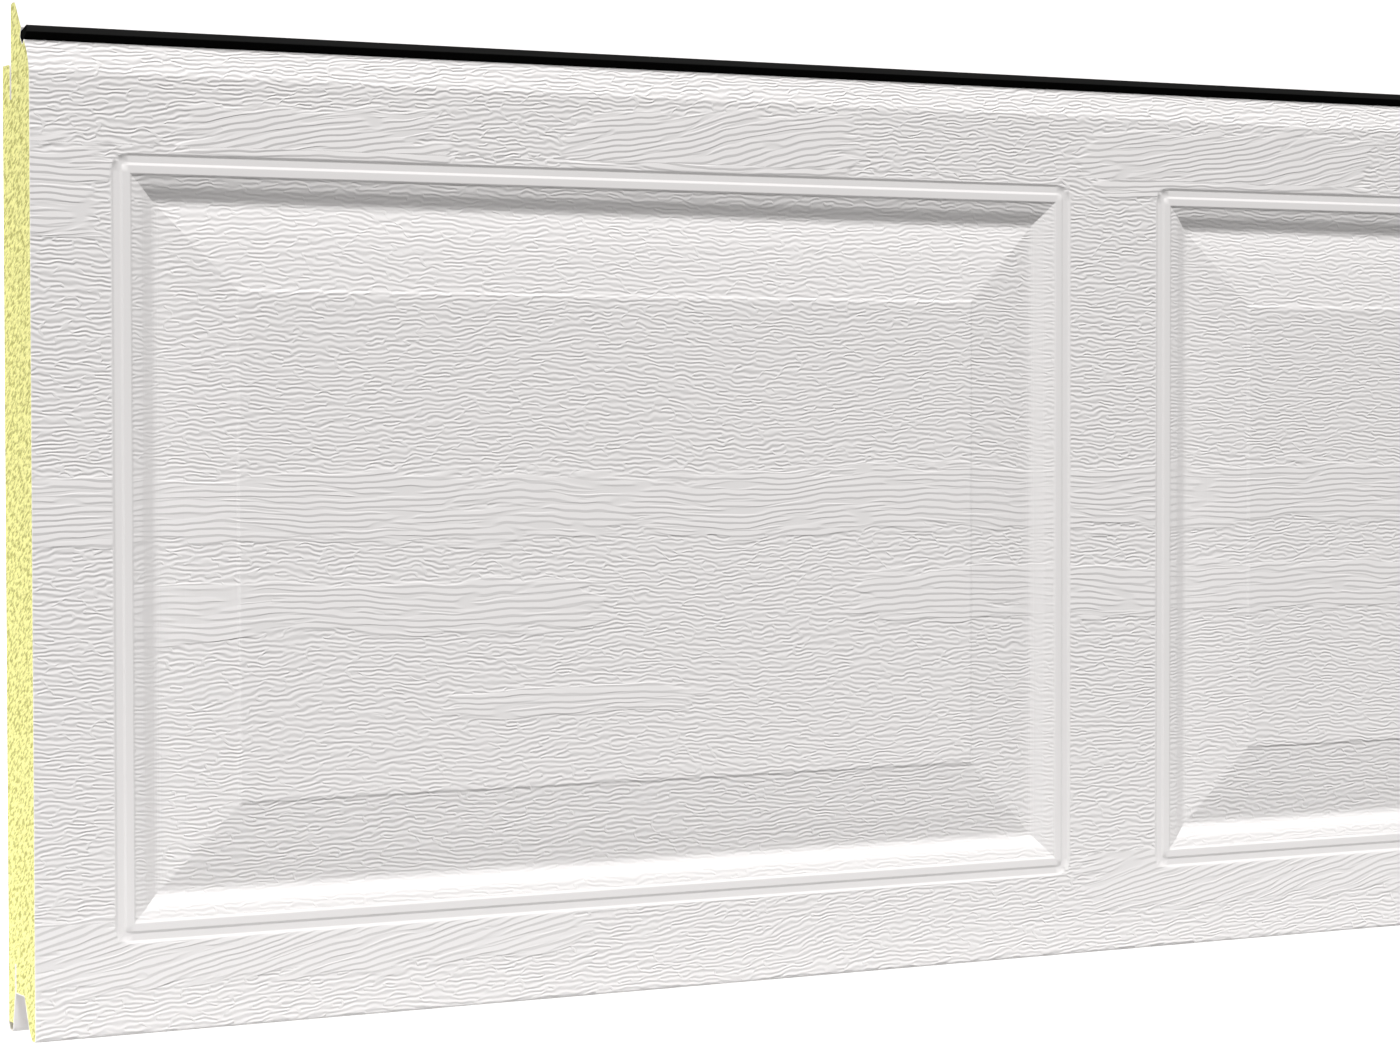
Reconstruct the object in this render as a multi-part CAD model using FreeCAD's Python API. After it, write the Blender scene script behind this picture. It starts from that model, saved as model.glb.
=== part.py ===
import FreeCAD, Part
import math
import os

"""Insulated tongue-and-groove cassette panel, lying on its back.

X runs along the panel, Y runs from the grooved edge to the tongued edge, and Z points out of
the front face. Sections are drawn as corners (y, z, radius): y is measured from the grooved
edge of the front face, z from the back face. The origin is under the middle of the panel.
"""

# Overall sizes, in millimetres
panel_length = 2600.0
cover_height = 500.0
thickness = 40.0
skin = 0.5

# Cassettes: places of the pressed frames on the front face
cassette_count = 4
end_margin = 42.5
cassette_gap = 61.0
lower_margin = 46.5
upper_margin = 55.5

# Cassettes: widths of the pressed bands, from the outer line inwards
press_wall = 1.3
outer_groove_width = 3.5
bead_width = 3.9
inner_rim_width = 5.1
trough_wall_width = 7.8
bevel_foot_width = 15.0
bevel_slope_width = 28.0

# Cassettes: depths of the bands below the front face
outer_groove_depth = 0.6
bead_depth = 0.1
inner_rim_start_depth = 0.7
inner_rim_end_depth = 1.75
trough_depth = 5.2
bevel_foot_depth = 2.85
bevel_top_depth = 0.7
field_depth = 0.2

# Cassettes: corners
cassette_corner_radius = 9.0
crisp_corner_radius = 0.8

# Tongue along the upper edge
tongue_reach = 19.5
tongue_tip_width = 6.9
tongue_tip_radius = 2.8
tongue_foot_height = 6.0
tongue_slope_run = 9.0

# Shoulder where the front face turns back towards the seal in two slopes
shoulder_edge_drop = 0.0
shoulder_edge_back = 7.6
shoulder_middle_drop = 7.5
shoulder_middle_back = 2.5
shoulder_middle_radius = 12.0
shoulder_start_drop = 15.7
shoulder_start_radius = 6.0
fold_radius = 0.8

# Pocket that holds the root of the seal
pocket_floor_drop = 2.7
pocket_floor_back = 2.4
pocket_root_height = 1.3
pocket_root_back = 5.3

# Ledge behind the tongue, and the slit between them
ledge_drop = 11.0
ledge_width = 11.6
ledge_radius = 1.6
slit = 1.2
upper_slit_depth = 18.0

# Groove along the lower edge: its ceiling clears the tongue of the panel below
ceiling_clearance = 1.8
groove_front_clearance = 4.1
groove_back_clearance = 2.5
lower_slit_depth = 15.0

# Front leg of the groove
front_leg_tip = 5.0
front_leg_tip_radius = 2.0
front_leg_knee_height = 4.0
front_leg_knee = 8.7
front_leg_knee_radius = 9.0

# Back leg of the groove, with an empty rounded hem below its foam
back_leg_tip = 6.4
back_leg_hem_radius = 2.9
back_leg_lift = 1.0
hem_height = 5.0

# Seal: a wedge with a ridge and a lip, which stands out of its pocket
seal_lip_height = 6.6
seal_lip_setback = 3.1
seal_lip_radius = 0.4
seal_ridge_height = 3.2
seal_ridge_setback = 3.8
seal_ridge_radius = 1.0
seal_notch_height = 4.2
seal_notch_setback = 10.6

# Values that follow from the sizes
origin_y = (cover_height + tongue_reach) / 2
front = thickness
tongue_back = ledge_width + slit
tongue_front = tongue_back + tongue_tip_width
tongue_foot = tongue_front + tongue_slope_run
tongue_top = cover_height + tongue_reach
ledge = cover_height - ledge_drop
upper_slit_floor = ledge - upper_slit_depth
ceiling = tongue_reach + ceiling_clearance
groove_back = tongue_back - groove_back_clearance
groove_front = tongue_front + groove_front_clearance
lower_slit_top = ceiling + lower_slit_depth
shoulder_edge = cover_height - shoulder_edge_drop
shoulder_middle = cover_height - shoulder_middle_drop
shoulder_start = cover_height - shoulder_start_drop
cassette_length = (panel_length - 2 * end_margin
                   - (cassette_count - 1) * cassette_gap) / cassette_count
cassette_height = cover_height - lower_margin - upper_margin


def vector(y, z, x=-panel_length / 2):
    """A point of the section, moved from section coordinates to the panel's own frame."""
    return FreeCAD.Vector(x, y - origin_y, z)


def turn_at(before, corner, after):
    """Signed angle by which the outline turns at a corner: positive turns to the left."""
    heading_in = math.atan2(corner[1] - before[1], corner[0] - before[0])
    heading_out = math.atan2(after[1] - corner[1], after[0] - corner[0])
    return (heading_out - heading_in + math.pi) % (2 * math.pi) - math.pi


def parallel(corners, distance):
    """The same outline moved to its left by a distance, its corner radii changed to suit."""
    moved = []
    last = len(corners) - 1
    for i, (y, z, radius) in enumerate(corners):
        a = corners[max(i - 1, 0)]
        b = corners[min(i + 1, last)]
        if i == 0 or i == last:
            heading = math.atan2(b[1] - a[1], b[0] - a[0])
            moved.append((y - distance * math.sin(heading), z + distance * math.cos(heading), 0.0))
            continue
        turn = turn_at(a, corners[i], b)
        heading = math.atan2(z - a[1], y - a[0]) + turn / 2
        reach = distance / math.cos(turn / 2)
        new_radius = max(radius - math.copysign(distance, turn), 0.0) if radius else 0.0
        moved.append((y - reach * math.sin(heading), z + reach * math.cos(heading), new_radius))
    return moved


def outline_edges(corners):
    """Straight lines between the corners, joined by tangent arcs of each corner's radius."""
    edges = []
    start = vector(*corners[0][:2])
    for before, corner, after in zip(corners, corners[1:], corners[2:]):
        y, z, radius = corner
        turn = turn_at(before, corner, after)
        point = vector(y, z)
        if radius <= 0.0:
            edges.append(Part.LineSegment(start, point).toShape())
            start = point
            continue
        back = (vector(*before[:2]) - point).normalize()
        ahead = (vector(*after[:2]) - point).normalize()
        length = radius * abs(math.tan(turn / 2))
        to_middle = radius / math.cos(turn / 2) - radius
        arc_start = point + back * length
        arc_end = point + ahead * length
        arc_middle = point + (back + ahead).normalize() * to_middle
        edges.append(Part.LineSegment(start, arc_start).toShape())
        edges.append(Part.Arc(arc_start, arc_middle, arc_end).toShape())
        start = arc_end
    edges.append(Part.LineSegment(start, vector(*corners[-1][:2])).toShape())
    return edges


def extrude_section(*outlines):
    """One solid along the whole panel from outlines that are joined end to end by lines."""
    edges = []
    for corners, following in zip(outlines, outlines[1:] + outlines[:1]):
        edges += outline_edges(corners)
        end = vector(*corners[-1][:2])
        start = vector(*following[0][:2])
        if end.distanceToPoint(start) > 1e-6:
            edges.append(Part.LineSegment(end, start).toShape())
    wire = Part.Wire(Part.__sortEdges__(edges))
    return Part.Face(wire).extrude(FreeCAD.Vector(panel_length, 0, 0))


def seal_pocket():
    """Corners of the pocket's inside, from the foot of the tongue to the shoulder's edge."""
    edge_z = front - shoulder_edge_back
    return [
        (cover_height + tongue_foot_height, tongue_foot, fold_radius),
        (cover_height + pocket_root_height, edge_z - pocket_root_back, fold_radius),
        (cover_height - pocket_floor_drop, edge_z - pocket_floor_back, fold_radius),
        (shoulder_edge, edge_z, fold_radius),
    ]


def front_outline():
    """Exposed side of the front skin, from the upper slit over the tongue to the lower slit."""
    return [
        (upper_slit_floor, tongue_back, 0.0),
        (tongue_top, tongue_back, tongue_tip_radius),
        (tongue_top, tongue_front, tongue_tip_radius),
        *seal_pocket(),
        (shoulder_middle, front - shoulder_middle_back, shoulder_middle_radius),
        (shoulder_start, front, shoulder_start_radius),
        (0.0, front, front_leg_tip_radius),
        (0.0, front - front_leg_tip, front_leg_tip_radius),
        (front_leg_knee_height, front - front_leg_knee, front_leg_knee_radius),
        (ceiling, groove_front, fold_radius),
        (ceiling, groove_back + slit, fold_radius),
        (lower_slit_top, groove_back + slit, 0.0),
    ]


def back_outline():
    """Exposed side of the back skin, from the lower slit round the hem to the upper slit."""
    return [
        (lower_slit_top, groove_back, 0.0),
        (ceiling, groove_back, fold_radius),
        (back_leg_lift, back_leg_tip, back_leg_hem_radius),
        (back_leg_lift, 0.0, back_leg_hem_radius),
        (ledge, 0.0, ledge_radius),
        (ledge, ledge_width, ledge_radius),
        (upper_slit_floor, ledge_width, 0.0),
    ]


def pressed_rings():
    """Offset from the cassette's outer line, and depth, where one pressed band meets the next."""
    steps = [
        (0.0, 0.0),
        (press_wall, outer_groove_depth),
        (outer_groove_width, outer_groove_depth),
        (press_wall, bead_depth),
        (bead_width, bead_depth),
        (press_wall, inner_rim_start_depth),
        (inner_rim_width, inner_rim_end_depth),
        (trough_wall_width, trough_depth),
        (bevel_foot_width, bevel_foot_depth),
        (bevel_slope_width, bevel_top_depth),
        (press_wall, field_depth),
    ]
    rings = []
    offset = 0.0
    for width, depth in steps:
        offset += width
        rings.append((offset, depth))
    return rings


def ring_edges(left, offset, z):
    """Eight edges of a rounded rectangle, a cassette's outer line moved inwards."""
    radius = max(cassette_corner_radius - offset, crisp_corner_radius)
    x0 = left + offset
    x1 = left + cassette_length - offset
    y0 = lower_margin + offset
    y1 = lower_margin + cassette_height - offset
    centres = [
        (x1 - radius, y0 + radius, -90),
        (x1 - radius, y1 - radius, 0),
        (x0 + radius, y1 - radius, 90),
        (x0 + radius, y0 + radius, 180),
    ]
    arcs = []
    for x, y, first_angle in centres:
        points = []
        for angle in (first_angle, first_angle + 45, first_angle + 90):
            turned = math.radians(angle)
            points.append(vector(y + radius * math.sin(turned), z, x + radius * math.cos(turned)))
        arcs.append(points)
    edges = []
    for points, following in zip(arcs, arcs[1:] + arcs[:1]):
        edges.append(Part.Arc(*points).toShape())
        edges.append(Part.LineSegment(points[2], following[0]).toShape())
    return edges


def band_faces(lower, upper):
    """Faces between two rings: flat between two lines, ruled between two arcs."""
    faces = []
    for one, other in zip(lower, upper):
        if one.Curve.TypeId == "Part::GeomLine":
            a, b = (vertex.Point for vertex in one.Vertexes)
            c, d = (vertex.Point for vertex in other.Vertexes)
            faces.append(Part.Face(Part.makePolygon([a, b, d, c, a])))
        else:
            faces.append(Part.makeRuledSurface(one, other))
    return faces


def pressed_surface(left, drop):
    """Faces of one cassette's pressed surface, all lowered by the same drop."""
    faces = []
    rings = [ring_edges(left, offset, front - depth - drop) for offset, depth in pressed_rings()]
    for outer, inner in zip(rings, rings[1:]):
        faces += band_faces(outer, inner)
    faces.append(Part.Face(Part.Wire(rings[-1])))
    return faces


def closed_solid(faces):
    """One solid from faces that meet edge to edge."""
    shell = Part.makeShell(faces)
    shell.sewShape()
    solid = Part.Solid(shell)
    solid.fix(1e-6, 1e-6, 1e-6)
    if solid.Volume < 0:
        solid.reverse()
    return solid


def pressed_sheet(left):
    """The steel of one cassette, as thick as the skin."""
    outer_line = ring_edges(left, 0.0, front)
    lowered_line = ring_edges(left, 0.0, front - skin)
    sides = band_faces(lowered_line, outer_line)
    return closed_solid(pressed_surface(left, 0.0) + pressed_surface(left, skin) + sides)


def pressed_hollow(left, drop):
    """Everything above one cassette's surface, up to a little above the front face."""
    top = front + skin
    low_line = ring_edges(left, 0.0, front - drop)
    top_line = ring_edges(left, 0.0, top)
    walls = band_faces(low_line, top_line)
    lid = Part.Face(Part.Wire(top_line))
    return closed_solid(pressed_surface(left, drop) + walls + [lid])


def cassette_window(left):
    """A straight block through the front skin inside one cassette's outer line."""
    line = Part.Wire(ring_edges(left, 0.0, front - 2 * skin))
    return Part.Face(line).extrude(FreeCAD.Vector(0, 0, 3 * skin))


def cassette_lefts():
    """Place of each cassette's left side along the panel."""
    pitch = cassette_length + cassette_gap
    first = end_margin - panel_length / 2
    return [first + i * pitch for i in range(cassette_count)]


def make_front_skin():
    """Pressed sheet: tongue, seal pocket, shoulder, cassettes, front leg and groove lining."""
    outline = front_outline()
    sheet = extrude_section(outline, parallel(outline, skin)[::-1])
    lefts = cassette_lefts()
    sheet = sheet.cut([cassette_window(left) for left in lefts])
    return sheet.fuse([pressed_sheet(left) for left in lefts]).removeSplitter()


def make_back_skin():
    """Plain sheet: ledge, back face, rounded hem and the back wall of the groove."""
    outline = back_outline()
    return extrude_section(outline, parallel(outline, skin)[::-1])


def make_foam_core():
    """Everything between the two skins, except the empty hem of the back leg."""
    core = extrude_section(parallel(front_outline(), skin), parallel(back_outline(), skin))
    hem = Part.makeBox(panel_length, back_leg_lift + hem_height, groove_back,
                       vector(0.0, 0.0))
    hollows = [pressed_hollow(left, skin) for left in cassette_lefts()]
    return core.cut([hem] + hollows)


def make_top_seal():
    """Wedge of rubber: its root fills the pocket, its ridge and lip stand over the joint."""
    lining = seal_pocket()
    wedge = [
        (cover_height + seal_lip_height, front - seal_lip_setback, seal_lip_radius),
        (cover_height + seal_notch_height, front - seal_notch_setback, 0.0),
    ]
    ridge = (cover_height + seal_ridge_height, front - seal_ridge_setback, seal_ridge_radius)
    foot = lining[0]
    root = lining[1]
    floor = lining[2]
    edge = lining[3]
    share = (seal_notch_height - pocket_root_height) / (tongue_foot_height - pocket_root_height)
    wall = (cover_height + seal_notch_height, root[1] + share * (foot[1] - root[1]), 0.0)
    return extrude_section([wall, root, floor, edge, ridge] + wedge)


os.makedirs("parts", exist_ok=True)
pieces = {
    "front_skin": make_front_skin(),
    "back_skin": make_back_skin(),
    "foam_core": make_foam_core(),
    "top_seal": make_top_seal(),
}
for name, shape in pieces.items():
    solid = shape.Solids[0] if len(shape.Solids) == 1 else shape
    solid.exportStep(f"parts/{name}.step")
    print(name, "solids", len(shape.Solids), "valid", shape.isValid(),
          "volume cm3", round(shape.Volume / 1000, 2), shape.BoundBox)
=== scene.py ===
"""Looks of an insulated cassette panel that lies on its back on a pale floor.

The panel is two painted steel sheets on a foam core, with a rubber seal along its upper edge.
Sections are drawn as corners (y, z, radius) in metres: y from the grooved edge of the front
face, z from the floor. X runs along the panel.
"""
import math

import bpy
import numpy as np
from bpy.props import FloatProperty, FloatVectorProperty, IntProperty, PointerProperty
from mathutils import Matrix, Vector
from mathutils.geometry import delaunay_2d_cdt


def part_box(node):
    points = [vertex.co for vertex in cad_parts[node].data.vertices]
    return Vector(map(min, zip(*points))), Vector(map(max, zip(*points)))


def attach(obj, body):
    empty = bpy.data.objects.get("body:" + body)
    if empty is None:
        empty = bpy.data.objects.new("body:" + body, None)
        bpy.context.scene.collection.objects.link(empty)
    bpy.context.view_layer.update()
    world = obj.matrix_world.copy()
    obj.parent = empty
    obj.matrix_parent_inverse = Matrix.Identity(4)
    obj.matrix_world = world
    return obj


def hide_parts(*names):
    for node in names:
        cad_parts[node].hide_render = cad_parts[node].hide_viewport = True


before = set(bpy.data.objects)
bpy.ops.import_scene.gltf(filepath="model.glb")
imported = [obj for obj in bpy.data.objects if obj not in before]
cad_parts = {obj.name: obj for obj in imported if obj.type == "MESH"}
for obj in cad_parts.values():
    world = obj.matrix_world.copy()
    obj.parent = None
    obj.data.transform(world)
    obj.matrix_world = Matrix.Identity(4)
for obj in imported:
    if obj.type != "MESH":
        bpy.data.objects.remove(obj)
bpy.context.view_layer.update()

bl_info = {
    "name": "Cassette Panel",
    "version": (1, 0, 0),
    "blender": (4, 5, 0),
    "location": "View3D > Sidebar > Cassette Panel",
    "description": "Pressed steel skins, foam core and seal of an insulated cassette panel",
    "category": "Object",
}

MM = 0.001

# The patches where the grain is smooth, in mm from the left end and the grooved edge: start and
# end along the panel, middle height and half width. They repeat along the panel.
SMOOTH_PATCHES = (
    (-100, 1500, 256, 18), (50, 320, 204, 14), (480, 870, 202, 15), (230, 380, 151, 8),
    (-80, 310, 33, 18), (640, 890, 33, 18), (-80, 40, 418, 26), (75, 225, 447, 16),
    (300, 480, 451, 20), (635, 850, 450, 19), (930, 1180, 206, 13), (1000, 1160, 448, 16),
)
PATCH_REPEAT = 1300.0

FRONT_LOW, FRONT_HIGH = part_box("front_skin")
BACK_LOW, BACK_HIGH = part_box("back_skin")

# Places in the list of the front sheet's corners
POCKET = slice(3, 7)
SHOULDER_EDGE, SHOULDER_START = 6, 8

# Cosines: a normal above FLAT is level, and one below CRISP from its face's is shaded flat
FLAT, CRISP = 0.9999, 0.8

# Share of the way to a triangle's middle at which the slope at its corner is read
NUDGE = 0.02

# The saw's slant across the foam's ends
SAW_SLANT = math.radians(58)


def length(name, value, words):
    """A size given in millimetres and kept in metres."""
    return FloatProperty(name=name, description=words, default=value * MM, min=0.0, max=3.0,
                         subtype="DISTANCE", unit="LENGTH", precision=4)


def colour(name, value, words):
    """A colour without alpha."""
    return FloatVectorProperty(name=name, description=words, default=value, size=3, min=0.0,
                               max=1.0, subtype="COLOR")


def number(name, value, words, most=10.0):
    """A plain number."""
    return FloatProperty(name=name, description=words, default=value, min=0.0, max=most)


class SectionSizes(bpy.types.PropertyGroup):
    """Sizes of the end section, shared by both sheets, the foam and the seal."""

    skin: length("Steel", 0.5, "Thickness of each steel sheet")
    cover_height: length("Cover height", 500, "Height that one panel covers")
    slit: length("Slit", 1.2, "Gap between the two sheets where they turn into the foam")
    tongue_tip: length("Tongue tip", 6.9, "Width of the tongue at its tip")
    tongue_foot_height: length("Tongue foot", 6.0, "Height of the tongue's foot")
    tongue_slope: length("Tongue slope", 9.0, "How far the tongue's front slopes back")
    tongue_radius: length("Tongue radius", 2.8, "Rounding of the tongue's tip")
    pocket_root_height: length("Pocket root", 1.3, "Height of the pocket's root")
    pocket_root_back: length("Pocket root back", 5.3, "Root's distance behind the shoulder")
    pocket_floor_drop: length("Pocket floor", 2.7, "Cover height less the pocket's floor")
    pocket_floor_back: length("Pocket floor back", 2.4, "Floor's distance behind the shoulder")
    shoulder_edge_back: length("Shoulder edge back", 7.6, "Edge's distance behind the front")
    shoulder_middle_drop: length("Shoulder middle drop", 7.5, "Cover height less its bend")
    shoulder_middle_back: length("Shoulder middle back", 2.5, "Bend's distance behind it")
    shoulder_middle_radius: length("Shoulder middle radius", 12, "Rounding of its bend")
    shoulder_start_drop: length("Shoulder start drop", 15.7, "Cover height less its start")
    shoulder_start_radius: length("Shoulder start radius", 6, "Rounding of its start")
    fold_radius: length("Fold radius", 0.8, "Rounding of the tight folds")
    upper_slit: length("Upper slit", 18, "Depth of the slit behind the tongue")
    lower_slit: length("Lower slit", 15, "Depth of the slit above the groove")
    ceiling: length("Groove depth", 21.3, "Depth of the groove along the lower edge")
    groove_front: length("Groove front", 23.8, "Height of the ceiling's front corner")
    leg_tip: length("Front leg tip", 5.0, "Thickness of the front leg at its edge")
    leg_knee_height: length("Knee height", 4.0, "Height where the front leg bends")
    leg_knee: length("Knee thickness", 8.7, "Thickness of the front leg at its bend")
    leg_radius: length("Front leg radius", 2.0, "Rounding of the front leg's edge")
    knee_radius: length("Knee radius", 9.0, "Rounding of the front leg's bend")
    back_leg_tip: length("Back leg tip", 6.4, "Thickness of the back leg at its hem")
    hem_height: length("Hem height", 5.0, "Height of the empty hem below the foam")
    hem_radius: length("Hem radius", 2.9, "Rounding of the hem")
    ledge_radius: length("Ledge radius", 1.6, "Rounding of the ledge behind the tongue")


class CassetteSizes(bpy.types.PropertyGroup):
    """Places, widths and depths of the frames pressed into the front sheet."""

    count: IntProperty(name="Cassettes", description="Number of cassettes", default=4, min=1)
    end_margin: length("End margin", 42.5, "Plain width at each end")
    gap: length("Gap", 61, "Plain width between two cassettes")
    lower_margin: length("Lower margin", 46.5, "Plain width below the cassettes")
    upper_margin: length("Upper margin", 55.5, "Cover height above the cassettes")
    corner: length("Corner radius", 9, "Rounding of the outer line's corners")
    wall: length("Step width", 1.3, "Width of each small pressed step")
    groove: length("Outer groove", 3.5, "Width of the smooth outer groove")
    bead: length("Bead", 3.9, "Width of the smooth bead")
    rim: length("Inner rim", 5.1, "Width of the grained rim")
    trough_wall: length("Trough wall", 7.8, "Width of the steep wall")
    bevel_foot: length("Bevel foot", 15, "Width of the bevel's steeper foot")
    bevel: length("Bevel", 28, "Width of the rest of the bevel")
    groove_depth: length("Groove depth", 0.6, "Depth of the outer groove")
    bead_depth: length("Bead depth", 0.1, "Depth of the bead")
    rim_start_depth: length("Rim start", 0.7, "Depth of the rim at the bead")
    rim_end_depth: length("Rim end", 1.75, "Depth of the rim at the trough")
    trough_depth: length("Trough depth", 5.2, "Depth of the deepest line")
    bevel_foot_depth: length("Bevel foot depth", 2.85, "Depth where the bevel flattens")
    bevel_top_depth: length("Bevel top depth", 0.7, "Depth of the bevel's upper edge")
    field_depth: length("Field depth", 0.2, "Depth of the flat field")


class PaintLook(bpy.types.PropertyGroup):
    """White paint over the wood grain that is rolled into the front sheet."""

    tint: colour("Paint", (0.806, 0.784, 0.777), "Colour of the paint")
    roughness: number("Roughness", 0.5, "Roughness of the paint", 1.0)
    line_spacing: length("Grain spacing", 2.65, "Distance between two crumpled grain lines")
    line_depth: length("Grain depth", 0.24, "Depth of the crumpled grain lines")
    step_spacing: length("Step spacing", 3.4, "Distance between two smooth grain lines")
    step_depth: length("Step depth", 0.23, "Height of the smooth grain lines")
    shoulder_slope: number("Shoulder slope", 0.21, "Even slope that shades the shoulder", 1.0)
    folded_grain: number("Folded grain", 1.2, "Strength of the grain round the folds")
    low_limit: length("Lower limit", 50, "Height below which the grain climbs")
    high_limit: length("Upper limit", 441, "Height above which the grain climbs")
    low_climb: number("Lower climb", 0.24, "Slope of the smooth lines low down", 1.0)
    high_climb: number("Upper climb", 0.16, "Slope of the smooth lines high up", 1.0)
    crumpled_climb: number("Crumpled climb", 0.3, "Share of the slopes in the crumpled grain", 1.0)


class FoamLook(bpy.types.PropertyGroup):
    """Sawn rigid foam."""

    tint: colour("Foam", (0.80, 0.779, 0.327), "Colour of the foam")
    # The pit colour is painted shade in the low parts of the sawn face
    shade: colour("Pits", (0.43, 0.41, 0.135), "Colour in the pits of the sawn face")
    cell: length("Crumb size", 1.25, "Distance between points of the sawn face")
    depth: length("Saw depth", 0.5, "Depth of the torn cells")


class SealLook(bpy.types.PropertyGroup):
    """Black rubber seal: sizes of its wedge, and its colour."""

    lip_height: length("Lip height", 6.6, "Height of the lip above the cover height")
    lip_setback: length("Lip setback", 3.1, "Lip's distance behind the front face")
    ridge_height: length("Ridge height", 3.2, "Height of the ridge")
    ridge_setback: length("Ridge setback", 3.8, "Ridge's distance behind the front")
    notch_height: length("Notch height", 4.2, "Height of the notch at the root")
    notch_setback: length("Notch setback", 10.6, "Notch's distance behind the front")
    tint: colour("Rubber", (0.021, 0.0208, 0.0205), "Colour of the rubber")


class StudioLook(bpy.types.PropertyGroup):
    """Floor, lights and camera."""

    key: number("Key", 4.45, "Strength of the main light")
    key_angle: FloatProperty(name="Key angle", description="Width of the main light in the sky",
                             default=math.radians(28), subtype="ANGLE", unit="ROTATION")
    side: number("Side", 1.5, "Power of the light at the left end", 1000.0)
    lamp: number("Lamp", 0.9, "Power of the lamp above the panel", 1000.0)
    edge: number("Edge", 0.75, "Power of the low light along the grooved edge", 1000.0)
    sky: number("Sky", 0.05, "Strength of the even light from all around")
    floor_glow: number("Floor glow", 0.8, "Light that the floor gives off itself")
    lens: FloatProperty(name="Lens", description="Focal length in mm on a 36 mm sensor",
                        default=97.868, min=1.0)
    roll: FloatProperty(name="Roll", description="Turn of the camera about its line of sight",
                        default=math.radians(-0.0936), subtype="ANGLE", unit="ROTATION")


PROPERTY_GROUPS = {
    "panel_section": SectionSizes,
    "panel_cassettes": CassetteSizes,
    "panel_paint": PaintLook,
    "panel_foam": FoamLook,
    "panel_seal": SealLook,
    "panel_studio": StudioLook,
}


def rounded(corners, arc_step=math.radians(12), tight_step=math.radians(24)):
    """Points and outward normals of an outline: straight lines joined by arcs that touch them.
    An arc starts radius times the tangent of half the turn before its corner, and turns evenly
    about a centre that lies one radius to the side. Tight arcs get fewer points. Outward is to
    the right of the outline."""
    places = np.array([corner[:2] for corner in corners])
    steps = np.diff(places, axis=0)
    directions = steps / np.linalg.norm(steps, axis=1)[:, None]
    before, after = directions[:-1], directions[1:]
    cross = before[:, 0] * after[:, 1] - before[:, 1] * after[:, 0]
    turns = np.arctan2(cross, (before * after).sum(axis=1))
    points, normals = [places[:1]], [np.array([[before[0, 1], -before[0, 0]]])]
    for corner, turn, heading in zip(corners[1:-1], turns, before):
        radius = corner[2]
        step = tight_step if radius < 1.5 * MM else arc_step
        count = max(math.ceil(abs(turn) / step), 2) + 1
        start = np.array(corner[:2]) - heading * radius * abs(math.tan(turn / 2))
        right = np.array([heading[1], -heading[0]])
        angle = np.linspace(0.0, turn, count)[:, None]
        sideways = np.array([-right[1], right[0]])
        normal = right * np.cos(angle) + sideways * np.sin(angle)
        points.append(start + math.copysign(radius, turn) * (normal - right))
        normals.append(normal)
    points.append(places[-1:])
    normals.append(np.array([[after[-1, 1], -after[-1, 0]]]))
    return np.concatenate(points), np.concatenate(normals)


def inwards(outline, distance):
    """The outline moved inwards: every point goes back along its normal by the distance."""
    points, normals = outline
    return points - distance * normals, normals


def divided(outline, step):
    """The closed outline with points added so that none lie further apart than the step."""
    points, normals = outline
    following = np.roll(points, -1, axis=0)
    pieces = np.ceil(np.linalg.norm(following - points, axis=1) / step).astype(int)
    source = np.repeat(np.arange(len(points)), pieces)
    first = np.cumsum(pieces) - pieces
    share = ((np.arange(len(source)) - first[source]) / pieces[source])[:, None]
    return points[source] + share * (following - points)[source], normals[source]


def with_rows(outline, heights):
    """The outline with further points on its longest straight line, at the given y values."""
    points, normals = outline
    longest = int(np.argmax(np.abs(np.diff(points[:, 0]))))
    start, end = points[longest], points[longest + 1]
    order = np.sort(heights)
    order = order if end[0] > start[0] else order[::-1]
    share = (order - start[0]) / (end[0] - start[0])
    extra = start + share[:, None] * (end - start)
    points = np.insert(points, longest + 1, extra, axis=0)
    normals = np.insert(normals, longest + 1, np.repeat(normals[longest][None], len(order), 0), 0)
    return points, normals


def unit(vectors):
    """The vectors made one long."""
    return vectors / np.maximum(np.linalg.norm(vectors, axis=-1, keepdims=True), 1e-20)


def face_normals(places, triangles):
    """Normals of triangles, each twice as long as its triangle's area."""
    a, b, c = (places[triangles[:, i]] for i in range(3))
    return np.cross(b - a, c - a)


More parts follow.
